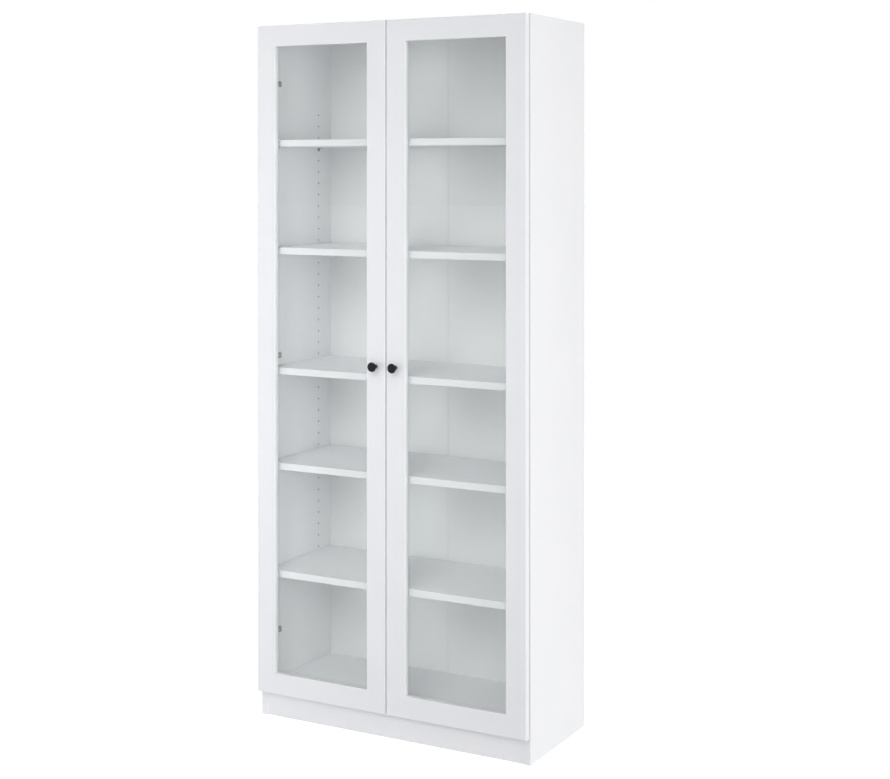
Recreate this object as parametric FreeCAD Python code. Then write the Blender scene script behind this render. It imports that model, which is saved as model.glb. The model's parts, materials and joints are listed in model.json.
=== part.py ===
import FreeCAD, Part
import math
import os

# A free-standing bookcase with two framed glass doors, in millimetres.
# Frame: +X to the right, the doors face -Y, +Z up, origin at the bottom centre of the whole box.

Vector = FreeCAD.Vector

# ------------------------------------------------------------------ driving sizes
# Carcass
WIDTH = 800.0               # across the outer faces of the sides
HEIGHT = 1850.0             # floor to the top of the sides
CARCASS_DEPTH = 328.0       # front edge to rear edge of a side
BOARD = 18.0                # every board of the carcass
BOTTOM_UNDERSIDE = 67.0     # floor to the underside of the bottom panel
PLINTH_SETBACK = 3.0        # plinth behind the front edges of the sides
BOARD_ROUND = 0.8           # rounding of the edge banding
GLIDE_HEIGHT = 2.0
GLIDE_RADIUS = 7.5
GLIDE_INSET = 60.0          # from a side's front or rear edge
GLIDE_NAIL_RADIUS = 1.5
GLIDE_NAIL_LENGTH = 16.0

# Back, in two halves with a joining strip
BACK_THICK = 3.0
BACK_INSET = 10.0           # rear face of the back to the rear edge of a side
GROOVE_DEPTH = 7.0
GROOVE_SLACK = 1.0          # left at the bottom of each groove
GROOVE_PLAY = 0.3           # wider than the back is thick
STRIP_WIDTH = 8.0
STRIP_FLANGE = 0.8
STRIP_WEB = 1.2
STRIP_PLAY = 0.3            # between the web and each half of the back
NAIL_RADIUS = 0.9
NAIL_LENGTH = 22.0
NAIL_HEAD_RADIUS = 2.2
NAIL_HEAD_THICK = 0.8
NAILS_PER_HALF = 3

# Shelves and the rows of holes that carry them
HOLE_RADIUS = 2.5
HOLE_DEPTH = 12.0
HOLE_PITCH = 32.0
FIRST_HOLE = 371.0          # floor to the lowest hole
TOP_HOLE_MARGIN = 200.0     # at least this much between the last hole and the top panel
SPARE_HOLES = 3             # holes left above the top shelf
FRONT_ROW = 37.0            # hole rows behind the front edge of the side
REAR_ROW = 253.0
SHELF_SETBACK = 4.0
SHELF_REAR_GAP = 6.0
SHELF_END_GAP = 1.0
FIXED_SHELF_RISE = 3.0      # underside above the hole it is set out from
SUPPORT_RISE = 4.0          # an adjustable shelf's underside above its hole
SUPPORT_PIN_LENGTH = 8.0
SUPPORT_WIDTH = 12.0
SUPPORT_DROP = 6.0
SUPPORT_REACH = 13.0
SUPPORT_THICK = 1.5

# Joints between the boards
CAM_RADIUS = 7.5
CAM_HEIGHT = 12.5
CAM_SINK = 0.3
CAM_REACH = 34.0            # end of the board to the centre of the cam
CAM_SLOT_WIDTH = 1.4
CAM_SLOT_LENGTH = 8.0
CAM_SLOT_DEPTH = 2.0
BOLT_THREAD_RADIUS = 2.5
BOLT_THREAD_LENGTH = 11.0
BOLT_SHANK_RADIUS = 3.0
BOLT_NECK_RADIUS = 2.0
BOLT_HEAD_RADIUS = 3.2
BOLT_HEAD_LENGTH = 3.0
BOLT_HEAD_PLAY = 0.4        # bolt head in the cam's socket
BOLT_SHANK_GAP = 1.0        # shank to the cam
BOLT_BORE_RADIUS = 4.0
JOINT_INSET = 60.0          # cam to the front or rear edge of its board
DOWEL_SPACING = 32.0        # cam to its dowel
DOWEL_RADIUS = 4.0
DOWEL_IN_SIDE = 12.0
DOWEL_IN_PANEL = 18.0
PLINTH_CAM_HEIGHT = 24.0    # above the floor
PLINTH_DOWEL_HEIGHT = 48.0
PLINTH_DOWEL_INSET = 120.0  # inner face of a side to the outer upright dowels

# Doors
DOOR_THICK = 19.0
DOOR_GAP = 3.0              # carcass front edge to the rear face of a closed door
DOOR_REVEAL = 1.5           # side's outer face to the door's outer edge
DOORS_APART = 3.0
DOOR_BELOW_TOP = 1.0
DOOR_ABOVE_PLINTH = 2.0     # door's bottom edge above the underside of the bottom panel
FRAME_WIDTH = 56.0
FRAME_ROUND = 1.8           # every long edge of the frame
LIP_DEPTH = 12.5            # front face of the frame to the front face of the glass
REBATE = 10.0               # how far the glass pocket goes into the frame
GLASS_THICK = 4.0
GLASS_EDGE_GAP = 1.5
FRAME_DOWEL_LENGTH = 50.0
FRAME_DOWEL_INSETS = (15.0, 37.0)   # from the door's top or bottom edge
BUMPER_RADIUS = 4.0
BUMPER_SQUASH = 0.2         # left between a bumper and the carcass

# Knobs
KNOB_LENGTH = 25.0
KNOB_FOOT_RADIUS = 5.4
KNOB_WAIST_RADIUS = 4.6
KNOB_WAIST_AT = 2.0         # door's front face to the narrowest point
KNOB_HEAD_RADIUS = 12.4
KNOB_HEAD_AT = 20.6         # door's front face to the widest point
KNOB_RIM = 2.6              # how far the rounded rim runs either way from there
KNOB_HEIGHT = 960.0         # floor to the knob
KNOB_SCREW_RADIUS = 2.0
KNOB_SCREW_IN_KNOB = 12.0
KNOB_SCREW_HEAD_RADIUS = 4.0
KNOB_SCREW_HEAD_THICK = 2.2

# Hinges: concealed cup hinges that turn on one pin
HINGE_END_INSET = 152.0     # door's end to the outer hinges
PIVOT_INSET = 9.5           # side's outer face to the pin
PIVOT_OUT = 12.4            # carcass front edge forward to the pin
PIN_RADIUS = 1.5
CUP_RADIUS = 17.5
CUP_DEPTH = 13.0
CUP_WALL = 1.0
CUP_FLOOR = 0.8
CUP_EDGE = 3.0              # door's edge to the cup
FLANGE_THICK = 1.0
FLANGE_RIM = 0.6
WING_OFFSET = 9.5           # cup centre to the line of its two screws
WING_HALF_LENGTH = 29.0
WING_WIDTH = 14.0
WING_ROUND = 4.0
CUP_SCREW_SPAN = 48.0
CUP_SCREW_RADIUS = 1.75
CUP_SCREW_LENGTH = 13.0
CUP_SCREW_HEAD_RADIUS = 3.4
CUP_SCREW_HEAD_THICK = 1.2
EYE_RADIUS = 2.4
NECK_WIDTH = 12.0
NECK_THICK = 2.0
NECK_INSET = 22.4           # side's outer face to the middle of the neck
ARM_WIDTH = 15.0
ARM_WALL = 1.5
ARM_ROUND = 1.2
ARM_TOP = 10.4              # side's inner face to the top of the arm
ARM_LENGTH = 53.0           # carcass front edge back to the arm's end
ARM_SHOULDER = 8.0          # carcass front edge back to where the arm is full height
ARM_RUNNING_GAP = 3.0       # side's inner face to the lower edge of the arm's walls
PLATE_THICK = 2.5
PLATE_WIDTH = 20.0
PLATE_HALF_LENGTH = 22.0
PLATE_SCREW_SPAN = 32.0
PLATE_SCREW_LENGTH = 11.0
PLATE_SCREW_HEAD_RADIUS = 4.0
PLATE_SCREW_HEAD_THICK = 1.5
BOSS_FRONT = 18.0           # the plate's ridge, behind the carcass front edge
BOSS_REAR = 48.0
ARM_SCREWS_AT = (25.0, 43.0)
ARM_SCREW_RADIUS = 2.0
ARM_SCREW_HEAD_RADIUS = 3.6
ARM_SCREW_HEAD_THICK = 1.6
ARM_SCREW_TIP_GAP = 1.0     # screw tip to the face of the side

# Clearances
FIT = 0.05                  # radial, pins and fasteners in their holes
BORE_SLACK = 0.5            # depth left past the end of a pin
PAST = 1.0                  # how far a cutter runs out of the face that it opens
SAME_PLACE = 1e-4
ACROSS, BACKWARDS, UPWARDS = Vector(1, 0, 0), Vector(0, 1, 0), Vector(0, 0, 1)

# ------------------------------------------------------------------ places worked out from them
TOTAL_DEPTH = KNOB_LENGTH + DOOR_THICK + DOOR_GAP + CARCASS_DEPTH
FRONT = -TOTAL_DEPTH / 2 + KNOB_LENGTH + DOOR_THICK + DOOR_GAP
REAR = FRONT + CARCASS_DEPTH
OUTER = WIDTH / 2
INNER = OUTER - BOARD
TOP_UNDERSIDE = HEIGHT - BOARD
BOTTOM_TOP = BOTTOM_UNDERSIDE + BOARD
BACK_FRONT = REAR - BACK_INSET - BACK_THICK
BACK_REAR = BACK_FRONT + BACK_THICK
HOLE_COUNT = int((TOP_UNDERSIDE - TOP_HOLE_MARGIN - FIRST_HOLE) // HOLE_PITCH) + 1
HOLE_HEIGHTS = [FIRST_HOLE + HOLE_PITCH * number for number in range(HOLE_COUNT)]
TOP_SHELF_HOLE = HOLE_COUNT - 1 - SPARE_HOLES
ADJUSTABLE_HOLES = [TOP_SHELF_HOLE * quarter // 4 for quarter in (4, 3, 1, 0)]
FIXED_SHELF_HOLE = TOP_SHELF_HOLE // 2 - 1
FIXED_SHELF_UNDERSIDE = HOLE_HEIGHTS[FIXED_SHELF_HOLE] + FIXED_SHELF_RISE
DOOR_X = (-OUTER + DOOR_REVEAL, -DOORS_APART / 2)
DOOR_Y = (FRONT - DOOR_GAP - DOOR_THICK, FRONT - DOOR_GAP)
DOOR_Z = (BOTTOM_UNDERSIDE + DOOR_ABOVE_PLINTH, HEIGHT - DOOR_BELOW_TOP)
OPENING_X = (DOOR_X[0] + FRAME_WIDTH, DOOR_X[1] - FRAME_WIDTH)
OPENING_Z = (DOOR_Z[0] + FRAME_WIDTH, DOOR_Z[1] - FRAME_WIDTH)
GLASS_Y = (DOOR_Y[0] + LIP_DEPTH, DOOR_Y[0] + LIP_DEPTH + GLASS_THICK)
MEETING_STILE_MIDDLE = DOOR_X[1] - FRAME_WIDTH / 2
PLATE_SCREW_HALF = PLATE_SCREW_SPAN / 2
MIDDLE_HINGE = HOLE_HEIGHTS[FIXED_SHELF_HOLE + 1] + HOLE_PITCH / 2
HINGE_HEIGHTS = [DOOR_Z[0] + HINGE_END_INSET, MIDDLE_HINGE, DOOR_Z[1] - HINGE_END_INSET]
PIVOT = Vector(-OUTER + PIVOT_INSET, FRONT - PIVOT_OUT, 0)
CUP_CENTRE_X = DOOR_X[0] + CUP_EDGE + CUP_RADIUS


# ------------------------------------------------------------------ small tools
def box(x_range, y_range, z_range):
    size = [high - low for low, high in (x_range, y_range, z_range)]
    return Part.makeBox(*size, Vector(x_range[0], y_range[0], z_range[0]))


def rod(radius, start, end):
    start = Vector(*start)
    axis = Vector(*end) - start
    return Part.makeCylinder(radius, axis.Length, start, axis)


def grown(interval, amount):
    return (interval[0] - amount, interval[1] + amount)


def mirrored(shape):
    """The same piece on the other side of the bookcase."""
    return shape.mirror(Vector(0, 0, 0), Vector(1, 0, 0))


def soften(solid, radius, wanted):
    """Rounds the straight edges whose middle point and direction are wanted."""
    edges = []
    for edge in solid.Edges:
        if isinstance(edge.Curve, Part.Line) and wanted(edge.CenterOfMass, edge.Curve.Direction):
            edges.append(edge)
    return solid.makeFillet(radius, edges)


def near(value, target):
    return abs(value - target) < SAME_PLACE


def runs_along(direction, axis):
    """Whether an edge's direction lies on an axis more than across it."""
    return abs(direction.dot(axis)) > direction.cross(axis).Length


def cut_all(solid, cutters):
    return solid.cut(Part.makeCompound(cutters)) if cutters else solid


def placed(shape, origin, along, normal):
    """Moves a fitting from its own frame (X along, Z normal) to its place."""
    x_axis = Vector(*along)
    z_axis = Vector(*normal)
    y_axis = z_axis.cross(x_axis)
    matrix = FreeCAD.Matrix(x_axis.x, y_axis.x, z_axis.x, origin[0],
                            x_axis.y, y_axis.y, z_axis.y, origin[1],
                            x_axis.z, y_axis.z, z_axis.z, origin[2],
                            0, 0, 0, 1)
    moved = shape.copy()
    moved.Placement = FreeCAD.Placement(matrix)
    return moved


def save(node, *solids):
    shape = solids[0] if len(solids) == 1 else Part.makeCompound(list(solids))
    shape.exportStep("parts/" + node + ".step")


# ------------------------------------------------------------------ joints between boards
def cam():
    """The cam that draws a board tight, in its own frame."""
    top = BOARD / 2 - CAM_SINK
    body = rod(CAM_RADIUS, (CAM_REACH, 0, BOARD / 2 - CAM_HEIGHT), (CAM_REACH, 0, top))
    socket_end = CAM_REACH + PAST
    socket = rod(BOLT_HEAD_RADIUS + BOLT_HEAD_PLAY, (CAM_REACH - CAM_RADIUS - PAST, 0, 0), (socket_end, 0, 0))
    slot_z = (top - CAM_SLOT_DEPTH, top + PAST)
    slot_long = (-CAM_SLOT_LENGTH / 2, CAM_SLOT_LENGTH / 2)
    slot_wide = (-CAM_SLOT_WIDTH / 2, CAM_SLOT_WIDTH / 2)
    across = box([CAM_REACH + end for end in slot_long], slot_wide, slot_z)
    along = box([CAM_REACH + end for end in slot_wide], slot_long, slot_z)
    return body.cut(socket).cut(across.fuse(along))


def cam_bolt():
    head_start = CAM_REACH - BOLT_HEAD_LENGTH
    shank_end = CAM_REACH - CAM_RADIUS - BOLT_SHANK_GAP
    thread = rod(BOLT_THREAD_RADIUS, (-BOLT_THREAD_LENGTH, 0, 0), (0, 0, 0))
    shank = rod(BOLT_SHANK_RADIUS, (0, 0, 0), (shank_end, 0, 0))
    neck = rod(BOLT_NECK_RADIUS, (shank_end, 0, 0), (head_start, 0, 0))
    head = rod(BOLT_HEAD_RADIUS, (head_start, 0, 0), (CAM_REACH, 0, 0))
    return thread.fuse([shank, neck, head]).removeSplitter()


def cam_cut_in_panel():
    well = rod(CAM_RADIUS + FIT, (CAM_REACH, 0, BOARD / 2 - CAM_HEIGHT), (CAM_REACH, 0, BOARD / 2 + PAST))
    return well.fuse(rod(BOLT_BORE_RADIUS, (-PAST, 0, 0), (CAM_REACH, 0, 0)))


def cam_cut_in_side():
    return rod(BOLT_THREAD_RADIUS + FIT, (-BOLT_THREAD_LENGTH - BORE_SLACK, 0, 0), (PAST, 0, 0))


def dowel():
    return rod(DOWEL_RADIUS, (-DOWEL_IN_SIDE, 0, 0), (DOWEL_IN_PANEL, 0, 0))


def dowel_cut():
    reach = (DOWEL_IN_SIDE + BORE_SLACK, DOWEL_IN_PANEL + BORE_SLACK)
    return rod(DOWEL_RADIUS + FIT, (-reach[0], 0, 0), (reach[1], 0, 0))


cams = []
bolts = []
dowels = []
side_cuts = []


def join_to_side(cam_place, dowel_place, normal):
    """One cam and one dowel at a board's left end, and what they cut from the board at both ends."""
    along = (1, 0, 0)
    for fastener, shape, place in ((cams, cam(), cam_place), (bolts, cam_bolt(), cam_place),
                                   (dowels, dowel(), dowel_place)):
        left = placed(shape, place, along, normal)
        fastener.extend((left, mirrored(left)))
    side_cuts.append(placed(cam_cut_in_side(), cam_place, along, normal))
    side_cuts.append(placed(dowel_cut(), dowel_place, along, normal))
    board_cuts = [placed(cam_cut_in_panel(), cam_place, along, normal)]
    board_cuts.append(placed(dowel_cut(), dowel_place, along, normal))
    return board_cuts + [mirrored(cut) for cut in board_cuts]


def level_board(y_range, underside, cam_side):
    """A board between the sides, with cams in its upper (+1) or lower (-1) face."""
    board = box((-INNER, INNER), y_range, (underside, underside + BOARD))
    board = soften(board, BOARD_ROUND,
                   lambda middle, way: near(middle.y, y_range[0]) and runs_along(way, ACROSS))
    middle_z = underside + BOARD / 2
    cuts = []
    for cam_y, step in ((y_range[0] + JOINT_INSET, 1), (y_range[1] - JOINT_INSET, -1)):
        dowel_y = cam_y + step * DOWEL_SPACING
        cuts += join_to_side((-INNER, cam_y, middle_z), (-INNER, dowel_y, middle_z), (0, 0, cam_side))
    return cut_all(board, cuts)


# ------------------------------------------------------------------ carcass boards
top_panel = level_board((FRONT, REAR), TOP_UNDERSIDE, 1)
bottom_panel = level_board((FRONT, BACK_FRONT), BOTTOM_UNDERSIDE, -1)
fixed_shelf = level_board((FRONT + SHELF_SETBACK, BACK_FRONT), FIXED_SHELF_UNDERSIDE, -1)

plinth_y = (FRONT + PLINTH_SETBACK, FRONT + PLINTH_SETBACK + BOARD)
plinth_middle_y = sum(plinth_y) / 2
plinth = box((-INNER, INNER), plinth_y, (GLIDE_HEIGHT, BOTTOM_UNDERSIDE))
plinth = cut_all(plinth, join_to_side((-INNER, plinth_middle_y, PLINTH_CAM_HEIGHT),
                                      (-INNER, plinth_middle_y, PLINTH_DOWEL_HEIGHT), (0, 1, 0)))
upright_dowel_x = INNER - PLINTH_DOWEL_INSET
upright_dowels = []
upright_cuts = []
for x in (-upright_dowel_x, 0, upright_dowel_x):
    place = (x, plinth_middle_y, BOTTOM_UNDERSIDE)
    upright_dowels.append(placed(dowel(), place, (0, 0, -1), (1, 0, 0)))
    upright_cuts.append(placed(dowel_cut(), place, (0, 0, -1), (1, 0, 0)))
dowels += upright_dowels
plinth = cut_all(plinth, upright_cuts)
bottom_panel = cut_all(bottom_panel, upright_cuts)

# ------------------------------------------------------------------ back
groove_y = (BACK_FRONT, BACK_REAR + GROOVE_PLAY)
groove_top = TOP_UNDERSIDE + GROOVE_DEPTH
side_cuts.append(box((-INNER - GROOVE_DEPTH, -INNER + PAST), groove_y, (0, groove_top)))
top_panel = top_panel.cut(box(grown((-INNER, INNER), PAST), groove_y, (TOP_UNDERSIDE - PAST, groove_top)))

seam = STRIP_WEB / 2 + STRIP_PLAY
back_x = (-INNER - GROOVE_DEPTH + GROOVE_SLACK, -seam)
back_left = box(back_x, (BACK_FRONT, BACK_REAR), (BOTTOM_UNDERSIDE, groove_top - GROOVE_SLACK))

strip_x = (-STRIP_WIDTH / 2, STRIP_WIDTH / 2)
strip_z = (BOTTOM_UNDERSIDE, TOP_UNDERSIDE)
strip = box((-STRIP_WEB / 2, STRIP_WEB / 2), (BACK_FRONT, BACK_REAR), strip_z)
strip = strip.fuse(box(strip_x, (BACK_REAR, BACK_REAR + STRIP_FLANGE), strip_z))
for bay in ((BOTTOM_TOP, FIXED_SHELF_UNDERSIDE), (FIXED_SHELF_UNDERSIDE + BOARD, TOP_UNDERSIDE)):
    strip = strip.fuse(box(strip_x, (BACK_FRONT - STRIP_FLANGE, BACK_FRONT), bay))
strip = strip.removeSplitter()


def nail(x, z, clearance):
    shank = rod(NAIL_RADIUS + clearance, (x, BACK_REAR, z), (x, BACK_REAR - NAIL_LENGTH, z))
    if clearance:
        return shank
    return shank.fuse(rod(NAIL_HEAD_RADIUS, (x, BACK_REAR, z), (x, BACK_REAR + NAIL_HEAD_THICK, z)))


nail_spacing = INNER / NAILS_PER_HALF
nails = []
nail_cuts = []
for nail_z in (BOTTOM_UNDERSIDE + BOARD / 2, FIXED_SHELF_UNDERSIDE + BOARD / 2):
    for number in range(NAILS_PER_HALF):
        nail_x = -nail_spacing * (number + 0.5)
        nails.append(nail(nail_x, nail_z, 0).removeSplitter())
        nail_cuts.append(nail(nail_x, nail_z, FIT))
back_left = cut_all(back_left, nail_cuts)
nails += [mirrored(solid) for solid in nails]
nail_cuts += [mirrored(solid) for solid in nail_cuts]
bottom_panel = cut_all(bottom_panel, nail_cuts)
fixed_shelf = cut_all(fixed_shelf, nail_cuts)

# ------------------------------------------------------------------ adjustable shelves
shelf_y = (FRONT + SHELF_SETBACK, BACK_FRONT - SHELF_REAR_GAP)
shelf_x = grown((-INNER, INNER), -SHELF_END_GAP)
support_rows = (FRONT + FRONT_ROW, FRONT + REAR_ROW)


def adjustable_shelf(hole_height):
    underside = hole_height + SUPPORT_RISE
    board = box(shelf_x, shelf_y, (underside, underside + BOARD))
    return soften(board, BOARD_ROUND, lambda middle, way: runs_along(way, ACROSS))


def shelf_support(y, hole_height):
    """A pin in the side, a small plate down its face and a ledge under the shelf."""
    across = (y - SUPPORT_WIDTH / 2, y + SUPPORT_WIDTH / 2)
    rest = hole_height + SUPPORT_RISE
    pin = rod(HOLE_RADIUS - FIT, (-INNER - SUPPORT_PIN_LENGTH, y, hole_height), (-INNER, y, hole_height))
    plate = box((-INNER, -INNER + SUPPORT_THICK), across, (hole_height - SUPPORT_DROP, rest))
    ledge = box((-INNER, -INNER + SUPPORT_REACH), across, (rest - SUPPORT_THICK, rest))
    return plate.fuse([ledge, pin]).removeSplitter()


supports = []
for hole_number in ADJUSTABLE_HOLES:
    for row in support_rows:
        left = shelf_support(row, HOLE_HEIGHTS[hole_number])
        supports.extend((left, mirrored(left)))


def side_hole(y, z):
    return rod(HOLE_RADIUS, (-INNER - HOLE_DEPTH, y, z), (-INNER + PAST, y, z))


for hole_height in HOLE_HEIGHTS:
    for row in support_rows:
        side_cuts.append(side_hole(row, hole_height))

# ------------------------------------------------------------------ glides
glides = []
side_middle = -INNER - BOARD / 2
for y in (FRONT + GLIDE_INSET, REAR - GLIDE_INSET):
    disc = rod(GLIDE_RADIUS, (side_middle, y, 0), (side_middle, y, GLIDE_HEIGHT))
    nail_top = GLIDE_HEIGHT + GLIDE_NAIL_LENGTH
    shank = rod(GLIDE_NAIL_RADIUS, (side_middle, y, GLIDE_HEIGHT), (side_middle, y, nail_top))
    left = disc.fuse(shank).removeSplitter()
    glides.extend((left, mirrored(left)))
    bore_top = nail_top + BORE_SLACK
    side_cuts.append(rod(GLIDE_NAIL_RADIUS + FIT, (side_middle, y, 0), (side_middle, y, bore_top)))

# ------------------------------------------------------------------ door frame
def is_edge_of_opening(middle):
    in_width = OPENING_X[0] - SAME_PLACE < middle.x < OPENING_X[1] + SAME_PLACE
    in_height = OPENING_Z[0] - SAME_PLACE < middle.z < OPENING_Z[1] + SAME_PLACE
    return near(middle.y, DOOR_Y[0]) and in_width and in_height


def whole_frame():
    """The four members in one: long edges rounded, with the opening and the pocket for the glass."""
    solid = box(DOOR_X, DOOR_Y, DOOR_Z)
    solid = soften(solid, FRAME_ROUND, lambda middle, way: not runs_along(way, BACKWARDS))
    solid = solid.cut(box(OPENING_X, grown(DOOR_Y, PAST), OPENING_Z))
    solid = soften(solid, FRAME_ROUND, lambda middle, way: is_edge_of_opening(middle))
    pocket_y = (GLASS_Y[0], DOOR_Y[1] + PAST)
    return solid.cut(box(grown(OPENING_X, REBATE), pocket_y, grown(OPENING_Z, REBATE)))


frame = whole_frame()
hinge_stile = frame.common(box((DOOR_X[0], OPENING_X[0]), DOOR_Y, DOOR_Z))
meeting_stile = frame.common(box((OPENING_X[1], DOOR_X[1]), DOOR_Y, DOOR_Z))
bottom_rail = frame.common(box(OPENING_X, DOOR_Y, (DOOR_Z[0], OPENING_Z[0])))
top_rail = frame.common(box(OPENING_X, DOOR_Y, (OPENING_Z[1], DOOR_Z[1])))

door_middle_y = sum(DOOR_Y) / 2
frame_dowels = []
frame_dowel_cuts = []
for joint_x in OPENING_X:
    for inset in FRAME_DOWEL_INSETS:
        for z in (DOOR_Z[0] + inset, DOOR_Z[1] - inset):
            for radius, slack, kept in ((DOWEL_RADIUS, 0, frame_dowels),
                                        (DOWEL_RADIUS + FIT, BORE_SLACK, frame_dowel_cuts)):
                ends = grown((joint_x, joint_x), FRAME_DOWEL_LENGTH / 2 + slack)
                kept.append(rod(radius, (ends[0], door_middle_y, z), (ends[1], door_middle_y, z)))
hinge_stile = cut_all(hinge_stile, frame_dowel_cuts)
meeting_stile = cut_all(meeting_stile, frame_dowel_cuts)
bottom_rail = cut_all(bottom_rail, frame_dowel_cuts)
top_rail = cut_all(top_rail, frame_dowel_cuts)

# ------------------------------------------------------------------ glass and beads
glass_overlap = REBATE - GLASS_EDGE_GAP
glass = box(grown(OPENING_X, glass_overlap), GLASS_Y, grown(OPENING_Z, glass_overlap))

bead_y = (GLASS_Y[1], DOOR_Y[1])
bead_x = grown(OPENING_X, REBATE)
bead_z = grown(OPENING_Z, REBATE)
beads = [box(bead_x, bead_y, (bead_z[0], OPENING_Z[0])), box(bead_x, bead_y, (OPENING_Z[1], bead_z[1]))]
for upright_x in ((bead_x[0], OPENING_X[0]), (OPENING_X[1], bead_x[1])):
    beads.append(box(upright_x, bead_y, OPENING_Z))

# ------------------------------------------------------------------ knob
def knob_point(radius, distance):
    return Vector(MEETING_STILE_MIDDLE + radius, DOOR_Y[0] - distance, KNOB_HEIGHT)


foot = knob_point(KNOB_FOOT_RADIUS, 0)
waist = knob_point(KNOB_WAIST_RADIUS, KNOB_WAIST_AT)
cone_start = knob_point(KNOB_FOOT_RADIUS, 2 * KNOB_WAIST_AT)
cone_end = knob_point(KNOB_HEAD_RADIUS - KNOB_RIM / 2, KNOB_HEAD_AT - KNOB_RIM)
rim = knob_point(KNOB_HEAD_RADIUS, KNOB_HEAD_AT)
crown = knob_point(KNOB_HEAD_RADIUS - KNOB_RIM, KNOB_HEAD_AT + KNOB_RIM)
crown_radius = KNOB_HEAD_RADIUS - KNOB_RIM
crown_rise = KNOB_LENGTH - KNOB_HEAD_AT - KNOB_RIM
dome_radius = (crown_radius ** 2 + crown_rise ** 2) / (2 * crown_rise)
dome_dip = dome_radius - math.sqrt(dome_radius ** 2 - (crown_radius / 2) ** 2)
face_middle = knob_point(crown_radius / 2, KNOB_LENGTH - dome_dip)
middle_of_face = knob_point(0, KNOB_LENGTH)
profile = Part.Wire([Part.Arc(foot, waist, cone_start).toShape(),
                     Part.LineSegment(cone_start, cone_end).toShape(),
                     Part.Arc(cone_end, rim, crown).toShape(),
                     Part.Arc(crown, face_middle, middle_of_face).toShape(),
                     Part.LineSegment(middle_of_face, knob_point(0, 0)).toShape(),
                     Part.LineSegment(knob_point(0, 0), foot).toShape()])
knob = Part.Face(profile).revolve(knob_point(0, 0), Vector(0, 1, 0), 360)

screw_tip = DOOR_Y[0] - KNOB_SCREW_IN_KNOB
knob_screw = rod(KNOB_SCREW_RADIUS, (MEETING_STILE_MIDDLE, DOOR_Y[1], KNOB_HEIGHT),
                 (MEETING_STILE_MIDDLE, screw_tip, KNOB_HEIGHT))
knob_screw = knob_screw.fuse(rod(KNOB_SCREW_HEAD_RADIUS, (MEETING_STILE_MIDDLE, DOOR_Y[1], KNOB_HEIGHT),
                                 (MEETING_STILE_MIDDLE, DOOR_Y[1] + KNOB_SCREW_HEAD_THICK, KNOB_HEIGHT)))
knob_screw = knob_screw.removeSplitter()
knob_bore = rod(KNOB_SCREW_RADIUS + FIT, (MEETING_STILE_MIDDLE, DOOR_Y[1] + PAST, KNOB_HEIGHT),
                (MEETING_STILE_MIDDLE, screw_tip - BORE_SLACK, KNOB_HEIGHT))
knob = knob.cut(knob_bore)
meeting_stile = meeting_stile.cut(knob_bore)

bumpers = []
for z in (BOTTOM_UNDERSIDE + BOARD / 2, TOP_UNDERSIDE + BOARD / 2):
    bumpers.append(rod(BUMPER_RADIUS, (MEETING_STILE_MIDDLE, DOOR_Y[1], z),
                       (MEETING_STILE_MIDDLE, FRONT - BUMPER_SQUASH, z)))

# ------------------------------------------------------------------ hinges
cup_inner_radius = CUP_RADIUS - CUP_WALL
cup_floor_y = DOOR_Y[1] - CUP_DEPTH
flange_y = (DOOR_Y[1], DOOR_Y[1] + FLANGE_THICK)
wing_x = CUP_CENTRE_X + WING_OFFSET


def hinge_pin(height):
    """The pin, trimmed to the round of the cup that holds its ends."""
    low, high = grown((height, height), CUP_RADIUS)
    full = rod(PIN_RADIUS, (PIVOT.x, PIVOT.y, low), (PIVOT.x, PIVOT.y, high))
    keep = rod(CUP_RADIUS - FIT, (CUP_CENTRE_X, cup_floor_y, height), (CUP_CENTRE_X, DOOR_Y[1], height))
    return full.common(keep)


def hinge_cup(height):
    """The cup that is let into the stile, with its rim and its two wings."""
    drum = rod(CUP_RADIUS, (CUP_CENTRE_X, cup_floor_y, height), (CUP_CENTRE_X, flange_y[1], height))
    rim_radius = CUP_RADIUS + FLANGE_RIM
    rim = rod(rim_radius, (CUP_CENTRE_X, flange_y[0], height), (CUP_CENTRE_X, flange_y[1], height))
    wings = box((wing_x - WING_WIDTH / 2, wing_x + WING_WIDTH / 2), flange_y,
                (height - WING_HALF_LENGTH, height + WING_HALF_LENGTH))
    wings = soften(wings, WING_ROUND, lambda middle, way: runs_along(way, BACKWARDS))
    hollow = rod(cup_inner_radius, (CUP_CENTRE_X, cup_floor_y + CUP_FLOOR, height),
                 (CUP_CENTRE_X, flange_y[1] + PAST, height))
    cup = drum.fuse([rim, wings]).removeSplitter().cut(hollow)
    low, high = grown((height, height), CUP_RADIUS)
    holes = [rod(PIN_RADIUS, (PIVOT.x, PIVOT.y, low), (PIVOT.x, PIVOT.y, high))]
    for z in (height - CUP_SCREW_SPAN / 2, height + CUP_SCREW_SPAN / 2):
        through = grown(flange_y, PAST)
        holes.append(rod(CUP_SCREW_RADIUS + FIT, (wing_x, through[0], z), (wing_x, through[1], z)))
    return cut_all(cup, holes)


def cup_bores(height):
    open_y = DOOR_Y[1] + PAST
    bores = [rod(CUP_RADIUS + FIT, (CUP_CENTRE_X, cup_floor_y, height), (CUP_CENTRE_X, open_y, height))]
    for z in (height - CUP_SCREW_SPAN / 2, height + CUP_SCREW_SPAN / 2):
        bottom = flange_y[1] - CUP_SCREW_LENGTH - BORE_SLACK
        bores.append(rod(CUP_SCREW_RADIUS + FIT, (wing_x, bottom, z), (wing_x, open_y, z)))
    return bores


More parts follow.
